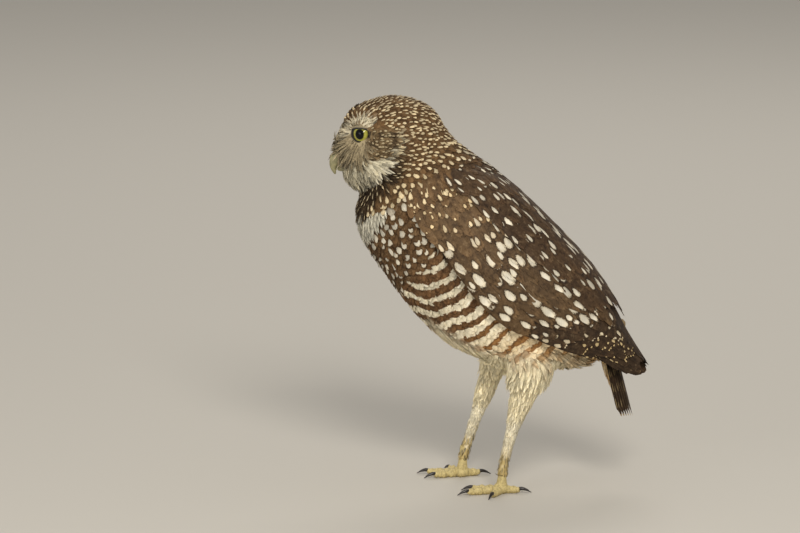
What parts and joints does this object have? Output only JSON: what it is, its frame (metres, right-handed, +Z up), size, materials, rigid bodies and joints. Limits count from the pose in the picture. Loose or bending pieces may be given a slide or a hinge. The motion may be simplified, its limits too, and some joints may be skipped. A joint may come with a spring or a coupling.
{
  "type": "burrowing owl",
  "caption": "Life-size still model of a burrowing owl standing on both feet, head level, wings folded, without a base.",
  "frame": {"origin": "bottom centre of the bird's box, on the floor that the feet stand on", "axes": "+Z up, the owl faces -X, its left side is towards -Y"},
  "size_m": [0.1914, 0.096, 0.2375],
  "materials": {
    "plumage": "soft brown body feathers with white spots above, white and brown bars below",
    "flight_feathers": "dark brown vanes with white and buff spots, faint silky sheen",
    "leg_down": "cream hair-like down on thighs and shanks",
    "foot_skin": "granular yellowish olive skin",
    "claw": "smooth dark horn",
    "bill": "dull olive horn",
    "eye": "wet glossy eye, yellow iris and black pupil"
  },
  "bodies": {
    "root": {"head": "plumage", "neck": "plumage", "torso": "plumage", "wing_left": "flight_feathers", "wing_right": "flight_feathers", "tail": "flight_feathers", "thigh_left": "leg_down", "thigh_right": "leg_down", "shank_left": "leg_down", "shank_right": "leg_down", "foot_left": "foot_skin", "foot_right": "foot_skin", "claw_left_inner": "claw", "claw_left_middle": "claw", "claw_left_outer": "claw", "claw_left_hind": "claw", "claw_right_inner": "claw", "claw_right_middle": "claw", "claw_right_outer": "claw", "claw_right_hind": "claw", "bill_upper": "bill", "bill_lower": "bill", "eye_left": "eye", "eye_right": "eye"}
  },
  "joints": []
}
